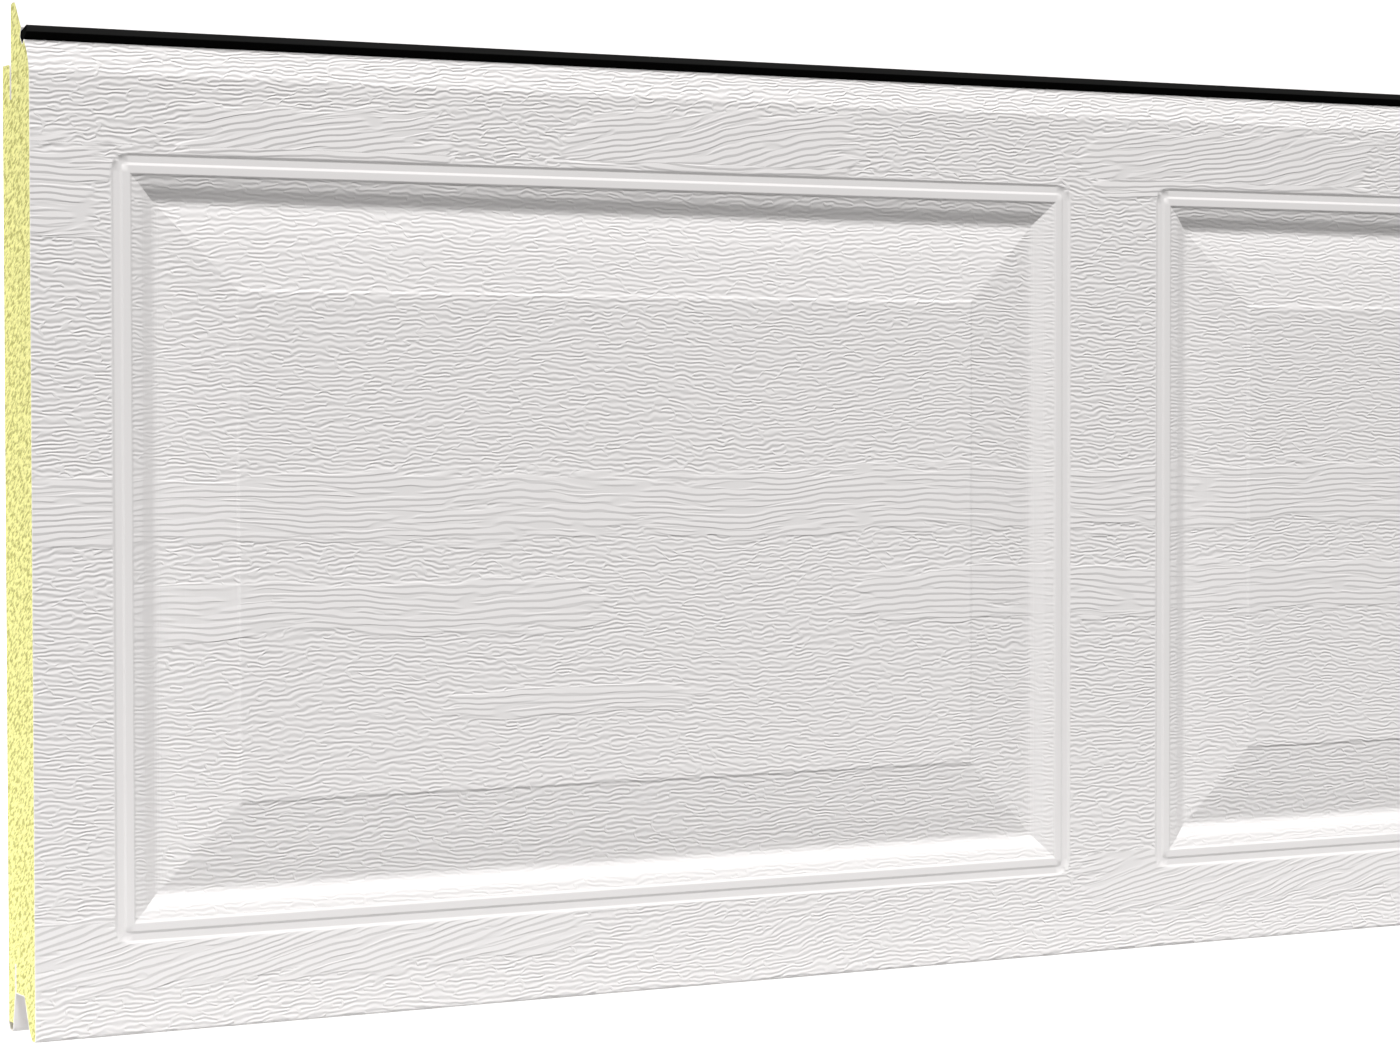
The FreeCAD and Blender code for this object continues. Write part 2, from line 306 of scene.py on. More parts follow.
class MeshParts:
    """Vertices, triangles and corner normals of a piece, gathered patch by patch."""

    def __init__(self):
        self.places, self.triangles, self.normals, self.press = [], [], [], []
        self.count = 0

    def add_points(self, places, press=None):
        """Adds vertices with their pattern coordinates and returns the number of the first."""
        first = self.count
        self.places.append(places)
        self.press.append(places if press is None else press)
        self.count += len(places)
        return first

    def add_triangles(self, triangles, normals=None):
        """Adds triangles of vertex numbers. Without normals, each is shaded as a flat face."""
        if normals is None:
            flat = unit(face_normals(np.concatenate(self.places), triangles))
            normals = np.repeat(flat[:, None], 3, axis=1)
        self.triangles.append(triangles)
        self.normals.append(normals)

    def build(self, name, material, slot, replaced):
        """Makes the object, which rides on the panel and stands for a node of the frame."""
        places = np.concatenate(self.places)
        triangles = np.concatenate(self.triangles).astype(np.int32)
        normals = np.concatenate(self.normals).reshape(-1, 3)
        mesh = bpy.data.meshes.new(name)
        mesh.vertices.add(len(places))
        mesh.vertices.foreach_set("co", places.astype(np.float32).ravel())
        mesh.loops.add(triangles.size)
        mesh.loops.foreach_set("vertex_index", triangles.ravel())
        mesh.polygons.add(len(triangles))
        mesh.polygons.foreach_set("loop_start", np.arange(0, triangles.size, 3, dtype=np.int32))
        mesh.polygons.foreach_set("use_smooth", np.ones(len(triangles), bool))
        press = mesh.attributes.new("press", "FLOAT_VECTOR", "POINT")
        press.data.foreach_set("vector", np.concatenate(self.press).astype(np.float32).ravel())
        mesh.update(calc_edges=True)
        mesh.validate()
        mesh.normals_split_custom_set(normals.tolist())
        mesh.materials.append(material)
        piece = bpy.data.objects.new(name, mesh)
        bpy.context.scene.collection.objects.link(piece)
        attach(piece, "root")
        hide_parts(replaced)
        return piece


def grid_triangles(first, columns, rows, diagonal=None, flip=False):
    """Two triangles for each cell of a grid stored column by column. Diagonal is true where the
    cell is cut from its first corner to the opposite one, and false where the other way."""
    index = first + np.arange(columns * rows).reshape(columns, rows)
    a, b = index[:-1, :-1].ravel(), index[1:, :-1].ravel()
    c, d = index[1:, 1:].ravel(), index[:-1, 1:].ravel()
    along = np.ones(a.size, bool) if diagonal is None else diagonal.ravel()
    one = np.where(along[:, None], np.stack([a, b, c], 1), np.stack([a, b, d], 1))
    two = np.where(along[:, None], np.stack([a, c, d], 1), np.stack([b, c, d], 1))
    triangles = np.concatenate([one, two])
    return triangles[:, ::-1] if flip else triangles


def front_corners(section):
    """Corners of the front sheet's outer side: up the tongue's back, over its tip, down through
    the seal's pocket and the shoulder, along the front face and round the front leg into the
    groove and the lower slit. The panel is to the left of the outline."""
    s = section
    top = FRONT_HIGH.z
    tongue_back = BACK_HIGH.z + s.slit
    tongue_front = tongue_back + s.tongue_tip
    tongue_top = FRONT_HIGH.y - FRONT_LOW.y
    ledge = BACK_HIGH.y - FRONT_LOW.y
    edge_z = top - s.shoulder_edge_back
    return [
        (ledge - s.upper_slit, tongue_back, 0.0),
        (tongue_top, tongue_back, s.tongue_radius),
        (tongue_top, tongue_front, s.tongue_radius),
        (s.cover_height + s.tongue_foot_height, tongue_front + s.tongue_slope, s.fold_radius),
        (s.cover_height + s.pocket_root_height, edge_z - s.pocket_root_back, s.fold_radius),
        (s.cover_height - s.pocket_floor_drop, edge_z - s.pocket_floor_back, s.fold_radius),
        (s.cover_height, edge_z, s.fold_radius),
        (s.cover_height - s.shoulder_middle_drop, top - s.shoulder_middle_back,
         s.shoulder_middle_radius),
        (s.cover_height - s.shoulder_start_drop, top, s.shoulder_start_radius),
        (0.0, top, s.leg_radius),
        (0.0, top - s.leg_tip, s.leg_radius),
        (s.leg_knee_height, top - s.leg_knee, s.knee_radius),
        (s.ceiling, s.groove_front, s.fold_radius),
        (s.ceiling, FRONT_LOW.z, s.fold_radius),
        (s.ceiling + s.lower_slit, FRONT_LOW.z, 0.0),
    ]


def back_corners(section):
    """Corners of the back sheet's outer side: down the lower slit and the groove's back wall,
    round the hem, along the back face, over the ledge and into the upper slit."""
    s = section
    lift = BACK_LOW.y - FRONT_LOW.y
    ledge = BACK_HIGH.y - FRONT_LOW.y
    slit_back = FRONT_LOW.z - s.slit
    return [
        (s.ceiling + s.lower_slit, slit_back, 0.0),
        (s.ceiling, slit_back, s.fold_radius),
        (lift, s.back_leg_tip, s.hem_radius),
        (lift, 0.0, s.hem_radius),
        (ledge, 0.0, s.ledge_radius),
        (ledge, BACK_HIGH.z, s.ledge_radius),
        (ledge - s.upper_slit, BACK_HIGH.z, 0.0),
    ]


def pressed_profile(cassettes):
    """Depth against distance inwards from the cassette's outer line, with rounded creases."""
    c = cassettes
    soft, wide, broad, sweeping = 1.3 * MM, 8.0 * MM, 12.0 * MM, 220.0 * MM
    steps = [
        (c.wall, c.groove_depth, soft),
        (c.groove, c.groove_depth, soft),
        (c.wall, c.bead_depth, soft),
        (c.bead, c.bead_depth, soft),
        (c.wall, c.rim_start_depth, soft),
        (c.rim, c.rim_end_depth, broad),
        (c.trough_wall, c.trough_depth, wide),
        (c.bevel_foot, c.bevel_foot_depth, sweeping),
        (c.bevel, c.bevel_top_depth, soft),
        (c.wall, c.field_depth, soft),
    ]
    corners = [(-0.8 * c.wall, 0.0, 0.0), (0.0, 0.0, soft)]
    offset = 0.0
    for width, depth, radius in steps:
        offset += width
        corners.append((offset, -depth, radius))
    corners.append((offset + 3 * c.wall, -c.field_depth, 0.0))
    points, _ = rounded(corners, math.radians(15), math.radians(15))
    return points[:, 0], -points[:, 1]


def cassette_lefts(cassettes):
    """Place of each cassette's left side along the panel, and the length of a cassette."""
    c = cassettes
    span = (FRONT_HIGH.x - FRONT_LOW.x) - 2 * c.end_margin - (c.count - 1) * c.gap
    wide = span / c.count
    return FRONT_LOW.x + c.end_margin + (wide + c.gap) * np.arange(c.count), wide


def cassette_offsets(cassettes, section, x, y):
    """Distance inwards from the nearest cassette's outer line: the radius less the distance to
    the rectangle of the corners' centres, which is rounded outside it and mitred inside it."""
    c = cassettes
    lefts, wide = cassette_lefts(c)
    height = section.cover_height - c.lower_margin - c.upper_margin
    across = np.abs(x[..., None] - lefts - wide / 2) - (wide / 2 - c.corner)
    up = np.abs(y[..., None] - c.lower_margin - height / 2) - (height / 2 - c.corner)
    outside = np.hypot(np.maximum(across, 0.0), np.maximum(up, 0.0))
    inside = np.minimum(np.maximum(across, up), 0.0)
    return (c.corner - outside - inside).max(axis=-1)


def cassette_lines(cassettes, section, offsets):
    """Grid lines that follow every crease, x values for the columns and y values for the rows,
    and the middle of each cassette along the panel."""
    c = cassettes
    lefts, wide = cassette_lefts(c)
    columns = np.concatenate([lefts[:, None] + offsets, lefts[:, None] + wide - offsets]).ravel()
    ends = [FRONT_LOW.x, FRONT_HIGH.x]
    top = section.cover_height - c.upper_margin
    rows = np.concatenate([c.lower_margin + offsets, top - offsets])
    return np.sort(np.concatenate([columns, ends])), np.sort(rows), lefts + wide / 2


def grain_strength(offset):
    """How strongly the rolled grain shows: none on the two smooth bands, little on the trough,
    and more up the bevel."""
    stops = ((-0.7, 1.0), (0.0, 0.0), (10.2, 0.0), (11.6, 0.6), (16.0, 0.55), (18.0, 0.2),
             (22.5, 0.2), (25.0, 0.55), (31.0, 0.88), (67.0, 0.9), (80.0, 0.8))
    inwards_mm, shares = zip(*stops)
    return np.interp(offset, np.array(inwards_mm) * MM, shares)


def sheet_mesh(outer, inner, columns, lowering=None, slopes=None, strength=None, mitre=None):
    """A bent sheet: its outer and inner outlines carried along X, and closed at all its edges.

    A point is (x, y, z less lowering(x, y) on the front face). Its shading normal is the
    outline's normal with the slope of the lowering added. Pattern coordinates are x, the
    distance along the outline, which equals y on the front face, and the grain's strength.
    """
    parts = MeshParts()
    rows, count = len(outer[0]), len(columns)
    face = outer[1][:, 1] > FLAT
    walked = np.concatenate([[0.0], np.cumsum(np.linalg.norm(np.diff(outer[0], axis=0), axis=1))])
    anchor = int(np.argmax(face))
    along = outer[0][anchor, 0] + walked[anchor] - walked
    x = np.repeat(columns[:, None], rows, axis=1)
    firsts = []
    for points, normals in (outer, inner):
        y = np.repeat(points[None, :, 0], count, axis=0)
        z = np.repeat(points[None, :, 1], count, axis=0)
        if lowering is not None:
            z = z - np.where(face, lowering(x, y), 0.0)
        weight = np.ones_like(x)
        if strength is not None:
            weight = strength(x, y, face)
        places = np.stack([x, y + FRONT_LOW.y, z], axis=-1).reshape(-1, 3)
        press = np.stack([x, np.repeat(along[None], count, axis=0), weight], axis=-1)
        firsts.append(parts.add_points(places, press.reshape(-1, 3)))
    diagonal = None if mitre is None else mitre(x, np.repeat(outer[0][None, :, 0], count, axis=0))
    for side, (first, (points, normals)) in enumerate(zip(firsts, (outer, inner))):
        triangles = grid_triangles(first, count, rows, diagonal, flip=(side == 0))
        places = np.concatenate(parts.places)
        corner = places[triangles]
        row = (triangles - first) % rows
        shading = np.zeros(corner.shape)
        shading[..., 1:] = outer[1][row]
        if slopes is not None:
            nudged = corner + NUDGE * (corner.mean(axis=1, keepdims=True) - corner)
            dx, dy = slopes(nudged[..., 0], nudged[..., 1] - FRONT_LOW.y)
            on_face = face[row]
            shading[..., 0] += np.where(on_face, dx, 0.0)
            shading[..., 1] += np.where(on_face, dy, 0.0)
        shading = unit(shading)
        parts.add_triangles(triangles, shading if side == 0 else -shading)
    index = np.arange(count * rows).reshape(count, rows)
    edges = (index[0], True), (index[-1], False), (index[:, 0], False), (index[:, -1], True)
    for edge, flip in edges:
        a, b = firsts[0] + edge, firsts[1] + edge
        strip = np.concatenate([np.stack([a[:-1], a[1:], b[1:]], 1),
                                np.stack([a[:-1], b[1:], b[:-1]], 1)])
        parts.add_triangles(strip[:, ::-1] if flip else strip)
    return parts


def solid_mesh(outline, columns, cap_cell=None, cap_depth=0.0, seed=1):
    """A closed outline carried along X. Its two ends are triangles over the outline's points,
    and, for a sawn face, over a staggered grid of points that sink by a rough height field."""
    points, normals = outline
    parts = MeshParts()
    rows, count = len(points), len(columns)
    x = np.repeat(columns[:, None], rows, axis=1)
    ring = np.repeat(points[None], count, axis=0)
    places = np.stack([x, ring[..., 0] + FRONT_LOW.y, ring[..., 1]], axis=-1).reshape(-1, 3)
    parts.add_points(places)
    index = np.arange(count * rows).reshape(count, rows)
    index = np.concatenate([index, index[:, :1]], axis=1)
    a, b = index[:-1, :-1].ravel(), index[1:, :-1].ravel()
    c, d = index[1:, 1:].ravel(), index[:-1, 1:].ravel()
    sides = np.concatenate([np.stack([a, c, b], 1), np.stack([a, d, c], 1)])
    shading = np.zeros((len(sides), 3, 3))
    shading[..., 1:] = normals[sides % rows]
    step = np.roll(points, -1, axis=0) - points
    straight = unit(np.stack([step[:, 1], -step[:, 0]], axis=1))
    flat = np.tile(straight, (count - 1, 1))
    flat = np.concatenate([flat, flat])[:, None].repeat(3, axis=1)
    apart = (shading[..., 1:] * flat).sum(axis=-1) < CRISP
    shading[apart, 1:] = flat[apart]
    parts.add_triangles(sides, shading)
    inner = np.zeros((0, 2)) if cap_cell is None else points_inside(points, cap_cell)
    spread = [Vector(point) for point in np.concatenate([points, inner]).tolist()]
    result = delaunay_2d_cdt(spread, [], [list(range(rows))], 1, 1e-7)
    origin = np.array([numbers[0] for numbers in result[3]])
    triangles = origin[np.array(result[2])]
    for end, (column, outward) in enumerate(((0, -1.0), (count - 1, 1.0))):
        height = np.zeros(len(inner))
        if len(inner):
            height = cap_depth * torn_height(inner / MM, seed + end)
        deep = np.stack([columns[column] - outward * height, inner[:, 0] + FRONT_LOW.y,
                         inner[:, 1]], axis=-1)
        first = parts.add_points(deep)
        numbers = np.concatenate([index[column, :-1], first + np.arange(len(inner))])
        cap = numbers[triangles]
        parts.add_triangles(cap if outward > 0 else cap[:, ::-1],
                            cap_normals(parts, cap, outward) if len(inner) else None)
    return parts


def cap_normals(parts, cap, outward):
    """Smooth normals of a sawn end: the sum of the neighbouring faces' normals at each point."""
    places = np.concatenate(parts.places)
    flat = face_normals(places, cap) * outward
    total = np.zeros((len(places), 3))
    for i in range(3):
        np.add.at(total, cap[:, i], flat)
    shading = unit(total)[cap]
    return shading if outward > 0 else shading[:, ::-1]


def points_inside(outline, cell):
    """Points of a staggered grid that lie inside the outline and clear of its edge. A point is
    inside where a ray from it crosses the outline an odd number of times."""
    row_step, room = 0.866 * cell, 0.45 * cell
    low, high = outline.min(axis=0), outline.max(axis=0)
    y = np.arange(low[0] + cell / 2, high[0], cell)
    z = np.arange(low[1] + cell / 2, high[1], row_step)
    grid_y, grid_z = np.meshgrid(y, z)
    grid_y = grid_y + (np.arange(len(z)) % 2)[:, None] * cell / 2
    p = np.stack([grid_y.ravel(), grid_z.ravel()], axis=1)
    a, b = outline, np.roll(outline, -1, axis=0)
    crosses = (a[:, 1] > p[:, 1:2]) != (b[:, 1] > p[:, 1:2])
    with np.errstate(divide="ignore", invalid="ignore"):
        at = (b[:, 0] - a[:, 0]) * (p[:, 1:2] - a[:, 1]) / (b[:, 1] - a[:, 1]) + a[:, 0]
    inside = (crosses & (p[:, 0:1] < at)).sum(axis=1) % 2 == 1
    p = p[inside]
    step = b - a
    share = ((p[:, None] - a) * step).sum(-1) / np.maximum((step ** 2).sum(-1), 1e-18)
    nearest = a + np.clip(share, 0, 1)[..., None] * step
    clear = np.linalg.norm(p[:, None] - nearest, axis=-1).min(axis=1) > room
    return p[clear]


def value_noise(points, seed):
    """Smooth random numbers from 0 to 1: those of the four lattice corners round each point,
    mixed by the smooth step of its place between them."""
    size = 256
    lattice = np.random.default_rng(seed).random((size, size))
    cell = np.floor(points).astype(int)
    part = points - cell
    part = part * part * (3 - 2 * part)
    i, j = cell[:, 0] % (size - 1), cell[:, 1] % (size - 1)
    low = lattice[i, j] * (1 - part[:, 0]) + lattice[i + 1, j] * part[:, 0]
    high = lattice[i, j + 1] * (1 - part[:, 0]) + lattice[i + 1, j + 1] * part[:, 0]
    return low * (1 - part[:, 1]) + high * part[:, 1]


def torn_height(points, seed):
    """Depth of a sawn foam face from 0 to 1: streaks along the saw's slant, 5.5 by 2.2 mm, and
    crumbs of 1.9 mm."""
    along = points @ np.array([math.cos(SAW_SLANT), math.sin(SAW_SLANT)])
    across = points @ np.array([-math.sin(SAW_SLANT), math.cos(SAW_SLANT)])
    streaks = value_noise(np.stack([along / 5.5, across / 2.2], axis=1), seed)
    crumbs = value_noise(points / 1.9, seed + 10)
    return np.clip(0.15 + 0.9 * streaks * crumbs + 0.35 * (crumbs - 0.5), 0.0, 1.0)


class Signal:
    """A value that flows through a material. Each sum on it adds the node that works it out."""

    def __init__(self, bench, socket):
        self.bench, self.socket = bench, socket

    def apply(self, operation, b=0.0, c=0.0):
        """One sum on this number and up to two more."""
        return self.bench.node("ShaderNodeMath", 0, {0: self, 1: b, 2: c}, operation=operation)

    def __add__(self, other):
        return self.apply("ADD", other)

    def __sub__(self, other):
        return self.apply("SUBTRACT", other)

    def __mul__(self, other):
        return self.apply("MULTIPLY", other)

    def __truediv__(self, other):
        return self.apply("DIVIDE", other)

    def __lt__(self, other):
        return self.apply("LESS_THAN", other)

    def __gt__(self, other):
        return self.apply("GREATER_THAN", other)

    def __abs__(self):
        return self.apply("ABSOLUTE")

    def line(self, slope, start):
        """This number times the slope, plus the start."""
        return self.apply("MULTIPLY_ADD", slope, start)

    def ramp(self, low, high):
        """Smooth step from 0 at the low value to 1 at the high one."""
        inputs = {"Value": self, "From Min": low, "From Max": high, "To Min": 0.0, "To Max": 1.0}
        return self.bench.node("ShaderNodeMapRange", 0, inputs, interpolation_type="SMOOTHSTEP")


class NodeBench:
    """A material's node tree, with one short call for each kind of node."""

    def __init__(self, name):
        self.material = bpy.data.materials.new(name)
        self.material.use_nodes = True
        self.tree = self.material.node_tree
        self.tree.nodes.clear()
        output = self.tree.nodes.new("ShaderNodeOutputMaterial")
        self.shader = self.tree.nodes.new("ShaderNodeBsdfPrincipled")
        self.tree.links.new(self.shader.outputs["BSDF"], output.inputs["Surface"])

    def feed(self, socket, value):
        """Sets an input to a number or colour, or links it to a signal."""
        if isinstance(value, Signal):
            self.tree.links.new(value.socket, socket)
        else:
            socket.default_value = value

    def node(self, kind, output, inputs, **settings):
        """Adds a node, sets it up, feeds its inputs by name or number and gives one output."""
        node = self.tree.nodes.new(kind)
        for key, value in settings.items():
            setattr(node, key, value)
        for key, value in inputs.items():
            self.feed(node.inputs[key], value)
        return Signal(self, node.outputs[output])

    def parts(self, vector):
        """The three numbers of a vector."""
        split = self.node("ShaderNodeSeparateXYZ", 0, {0: vector}).socket.node
        return [Signal(self, output) for output in split.outputs]

    def blend(self, share, a, b):
        """Mix of two colours."""
        return self.node("ShaderNodeMix", 2, {0: share, 6: a, 7: b}, data_type="RGBA")

    def bump(self, height, distance):
        """Relief from a height and the metres that one unit of it stands for."""
        return self.node("ShaderNodeBump", 0, {"Height": height, "Distance": distance,
                                               "Strength": 1.0})

    def finish(self, **values):
        """Feeds the shader's inputs, named in small letters, and gives the material."""
        for name, value in values.items():
            words = name.replace("_", " ").title().replace("Ior", "IOR")
            self.feed(self.shader.inputs[words], value)
        return self.material


def rgba(tint, factor=1.0):
    """A colour with full alpha, made darker or lighter."""
    return tuple(channel * factor for channel in tint) + (1.0,)


class Grain:
    """The sums that the rolled wood grain is made of, in millimetres on the flat sheet."""

    def __init__(self, bench):
        self.bench = bench
        press = bench.node("ShaderNodeAttribute", "Vector", {}, attribute_name="press")
        x, y, self.strength = bench.parts(press)
        self.x, self.y = x * (1 / MM), y * (1 / MM)
        self.shift = 0.0

    def swing(self, y, width, height, reach):
        """A smooth number that swings both ways by the reach, over about width by height. Each
        call reads another part of the noise."""
        self.shift += 17.3
        place = self.bench.node("ShaderNodeCombineXYZ", 0, {
            0: self.x.line(1 / width, self.shift), 1: y.line(1 / height, self.shift)})
        noise = self.bench.node("ShaderNodeTexNoise", 0, {"Vector": place, "Scale": 1.0,
                                "Detail": 0.0}, noise_dimensions="2D")
        return noise.line(2 * reach, -reach)

    def lines(self, y, spacing, width, height, jitter):
        """Place across the grain lines, as a share of the spacing that runs from 0 to 1, and how
        sure the pattern is of it. Two smooth numbers are read as the legs of an arrow; its angle
        shifts the lines, so that a line forks or ends wherever both numbers are zero."""
        a = self.swing(y, width, height, 1.0)
        b = self.swing(y, width, height, 1.0)
        phase = a.apply("ARCTAN2", b).line(1 / math.tau, jitter)
        share = y.line(1 / spacing, phase).apply("FRACT")
        return share, a.line(a, b * b).ramp(0.0, 0.03)


def smooth_share(x, y):
    """How far a place on the sheet lies in one of the patches where the grain is smooth: 1 in
    the middle of a patch and 0 outside all of them. Each is a span of x at a height y."""
    total, fade = None, 25.0
    for start, end, middle, half in SMOOTH_PATCHES:
        reach = (end - start) / 2
        along, across = abs(x - (start + end) / 2), abs(y - middle)
        share = along.ramp(reach + fade, reach - fade) * across.ramp(half * 1.5, half * 0.5)
        total = share if total is None else total.apply("MAXIMUM", share)
    return total


def grain_height(bench, look):
    """Height of the rolled wood grain in metres, zero between its lines.

    The lines run along the panel, slow waves bend them, and they climb to the right above and
    below the cassettes. Most of the sheet is crumpled: close grooves that fork often. In the
    smooth patches the lines are long steps, each steep on its lower side and gently sloped back
    to the next.
    """
    grain = Grain(bench)
    slow = grain.swing(grain.y, width=130, height=110, reach=4.5)
    middle = grain.swing(grain.y, width=26, height=20, reach=1.0)
    below = (grain.y < look.low_limit / MM) * -look.low_climb
    above = (grain.y > look.high_limit / MM) * -look.high_climb
    climb = (below + above) * grain.x
    flat = grain.y + (slow + middle)

    # Crumpled grooves
    bent = climb.line(look.crumpled_climb, flat)
    y = bent + grain.swing(bent, width=9, height=7, reach=0.5)
    jitter = grain.swing(y, width=6, height=4, reach=0.26)
    share, sure = grain.lines(y, look.line_spacing / MM, 10, 7.5, jitter)
    groove = abs(share.line(2.0, -1.0)).ramp(0.0, 1.0) - 1.0
    uneven = grain.swing(bent, width=16, height=6, reach=0.45) + 0.9
    crumpled = groove * (sure * uneven) * look.line_depth

    # Smooth steps
    bent = flat + climb + grain.swing(flat, width=55, height=35, reach=1.6)
    y = bent + grain.swing(bent, width=12, height=14, reach=0.35)
    jitter = grain.swing(y, width=12, height=6, reach=0.12)
    share, sure = grain.lines(y, look.step_spacing / MM, 60, 15, jitter)
    steep = 0.34
    fall = share.line(-1 / (1 - steep), 1 / (1 - steep))
    step = (share / steep).apply("SMOOTH_MIN", fall, 0.3)
    held = grain.swing(y, width=40, height=3, reach=1.0).ramp(-0.6, -0.25)
    step = step * (sure * held) * look.step_depth

    # The two are mixed along ragged edges round the patches
    place = (grain.x - FRONT_LOW.x / MM).apply("WRAP", PATCH_REPEAT, 0.0)
    ragged = (grain.swing(bent, width=90, height=22, reach=0.4)
              + grain.swing(bent, width=30, height=5, reach=0.6))
    inside = smooth_share(place, slow.line(0.4, grain.y))
    rough = (ragged + inside.line(-1.3, 0.75)).ramp(-0.16, 0.16)
    return rough.line(crumpled - step, step) * grain.strength


def paint_material(look, grained):
    """White coil paint, satin. The front sheet shows the rolled grain through it, and the back
    sheet only a faint unevenness."""
    bench = NodeBench("front paint" if grained else "back paint")
    if grained:
        normal = bench.bump(grain_height(bench, look), 1.0)
    else:
        place = bench.node("ShaderNodeTexCoord", "Object", {})
        peel = bench.node("ShaderNodeTexNoise", 0, {"Vector": place, "Scale": 700.0})
        normal = bench.bump(peel, 0.01 * MM)
    return bench.finish(base_color=rgba(look.tint), normal=normal, roughness=look.roughness,
                        specular_ior_level=0.35)


def foam_material(look):
    """Pale yellow rigid foam: short slanted tears, dull all over. Its pits are coloured darker, as
    painted shade.
    """
    bench = NodeBench("sawn foam")
    place = bench.node("ShaderNodeTexCoord", "Object", {})
    slanted = bench.node("ShaderNodeMapping", 0, {"Vector": place,
                         "Rotation": (SAW_SLANT, 0.0, 0.0), "Scale": (1.0, 2.6, 1.0)},
                         vector_type="TEXTURE")
    streaks = bench.node("ShaderNodeTexNoise", 0, {"Vector": slanted, "Scale": 620.0,
                                                   "Detail": 2.0, "Roughness": 0.6})
    crumbs = bench.node("ShaderNodeTexVoronoi", 0, {"Vector": place, "Scale": 700.0})
    height = crumbs.line(0.4, streaks * 0.9)
    # Painted shade: where the streaks sink, the colour turns to the pit shade
    tint = bench.blend(streaks.ramp(0.36, 0.56), rgba(look.shade), rgba(look.tint))
    return bench.finish(base_color=tint, normal=bench.bump(height, 0.5 * MM), roughness=0.9,
                        specular_ior_level=0.1)


def rubber_material(look, ridge_height):
    """Black rubber with fine marks along its length. Below its ridge and on its cut ends its tint
    is darkened to a quarter, as painted shade."""
    bench = NodeBench("seal rubber")
    place = bench.node("ShaderNodeTexCoord", "Object", {})
    x, y, _ = bench.parts(place)
    ridge = FRONT_LOW.y + ridge_height
    fade, cut = 0.4 * MM, 0.05 * MM
    # Painted shade: the face below the ridge and the cut ends get a quarter of the tint, the rest
    # keeps it
    unshaded = y.ramp(ridge - fade, ridge + fade) * (abs(x) < FRONT_HIGH.x - cut)
    drawn = bench.node("ShaderNodeMapping", 0, {"Vector": place, "Scale": (0.02, 1.0, 1.0)})
    marks = bench.node("ShaderNodeTexNoise", 0, {"Vector": drawn, "Scale": 900.0, "Detail": 2.0})
    tint = bench.blend(marks, rgba(look.tint, 0.9), rgba(look.tint, 1.4))
    tint = bench.blend(unshaded, rgba(look.tint, 0.25), tint)
    return bench.finish(base_color=tint, normal=bench.bump(marks, 0.01 * MM), roughness=0.75,
                        specular_ior_level=0.0)


def floor_material(glow):
    """A pale matt floor, lit a little from below."""
    return NodeBench("pale floor").finish(
        base_color=rgba((0.9, 0.9, 0.9)), roughness=0.9, specular_ior_level=0.1,
        emission_color=rgba((1.0, 1.0, 1.0)), emission_strength=glow)


def evenly_shaded(outline, corners, slope):
    """The outline with the shoulder's two slopes shaded as an even one: its normals there are
    those of a plane that falls by the slope."""
    points, normals = outline
    start = corners[SHOULDER_START][0] - 2 * MM
    shoulder = (points[:, 0] > start) & (points[:, 0] < shoulder_end(corners))
    shoulder &= (normals[:, 1] > 0.3) & (normals[:, 0] > 0.01)
    even = np.array([slope, 1.0]) / math.hypot(slope, 1.0)
    return points, np.where(shoulder[:, None], even, normals)


def shoulder_end(corners):
    """Height just below the shoulder's edge, past which the sheet turns into the pocket."""
    return corners[SHOULDER_EDGE][0] - 0.05 * MM


class PANEL_OT_front_sheet(bpy.types.Operator):
    """Make the front sheet: tongue, seal pocket, shoulder, cassettes, front leg and groove"""

    bl_idname = "cassette_panel.front_sheet"
    bl_label = "Front Sheet"

    def execute(self, context):
        scene = context.scene
        section, cassettes = scene.panel_section, scene.panel_cassettes
        look = scene.panel_paint
        corners = front_corners(section)
        offsets, depths = pressed_profile(cassettes)
        columns, rows, middles = cassette_lines(cassettes, section, offsets[:-1])

        def lowering(x, y):
            return np.interp(cassette_offsets(cassettes, section, x, y), offsets, depths)

        def slopes(x, y):
            step = 0.02 * MM
            dx = lowering(x + step, y) - lowering(x - step, y)
            dy = lowering(x, y + step) - lowering(x, y - step)
            return dx / (2 * step), dy / (2 * step)

        def strength(x, y, face):
            pressed = grain_strength(cassette_offsets(cassettes, section, x, y))
            return np.where(face, pressed, look.folded_grain * (y < shoulder_end(corners)))

        def mitre(x, y):
            middle_y = (section.cover_height + cassettes.lower_margin - cassettes.upper_margin) / 2
            middle_x = (x[1:, 1:] + x[:-1, :-1]) / 2
            nearest = middles[np.abs(middle_x[..., None] - middles).argmin(axis=-1)]
            above = (y[1:, 1:] + y[:-1, :-1]) / 2 > middle_y
            return (middle_x > nearest) != above

        outer = with_rows(rounded(corners), rows)
        inner = inwards(outer, section.skin)
        outer = evenly_shaded(outer, corners, look.shoulder_slope)
        parts = sheet_mesh(outer, inner, columns, lowering, slopes, strength, mitre)
        material = paint_material(look, grained=True)
        parts.build("front_sheet", material, "front_paint", "front_skin")
        return {"FINISHED"}


class PANEL_OT_back_sheet(bpy.types.Operator):
    """Make the back sheet: ledge, back face, rounded hem and the groove's back wall"""

    bl_idname = "cassette_panel.back_sheet"
    bl_label = "Back Sheet"

    def execute(self, context):
        scene = context.scene
        corners = back_corners(scene.panel_section)
        columns = np.linspace(BACK_LOW.x, BACK_HIGH.x, num=40)
        outer = rounded(corners)
        inner = inwards(outer, scene.panel_section.skin)
        parts = sheet_mesh(outer, inner, columns)
        material = paint_material(scene.panel_paint, grained=False)
        parts.build("back_sheet", material, "back_paint", "back_skin")
        return {"FINISHED"}


